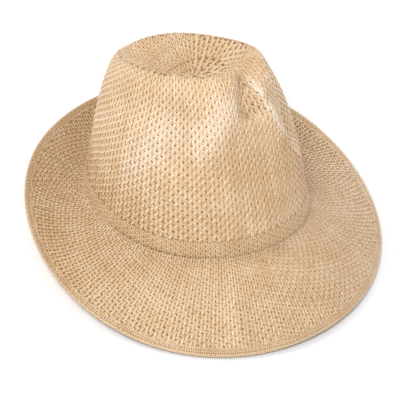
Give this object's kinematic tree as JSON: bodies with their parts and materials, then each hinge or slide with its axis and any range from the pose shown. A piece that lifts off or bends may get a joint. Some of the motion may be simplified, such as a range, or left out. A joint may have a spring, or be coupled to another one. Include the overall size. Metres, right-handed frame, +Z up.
{
  "type": "wide brim hat",
  "caption": "Woven straw fedora-shaped sun hat with a teardrop crown, pinched front, front brim turned down and back brim turned up, and a tight-woven band round the crown's foot",
  "frame": {"origin": "On the surface that the hat lies on, under the middle of the hat's outline seen from above", "axes": "+Z up, -Y the wearer's front with the turned-down brim, +X the wearer's left"},
  "size_m": [0.3154, 0.3024, 0.1686],
  "materials": {
    "straw": "woven natural paper straw, open weave, satin strands",
    "straw_twill": "fine tight twill of the same straw"
  },
  "bodies": {
    "root": {"hat_body": "straw", "crown_band": "straw_twill"}
  },
  "joints": []
}
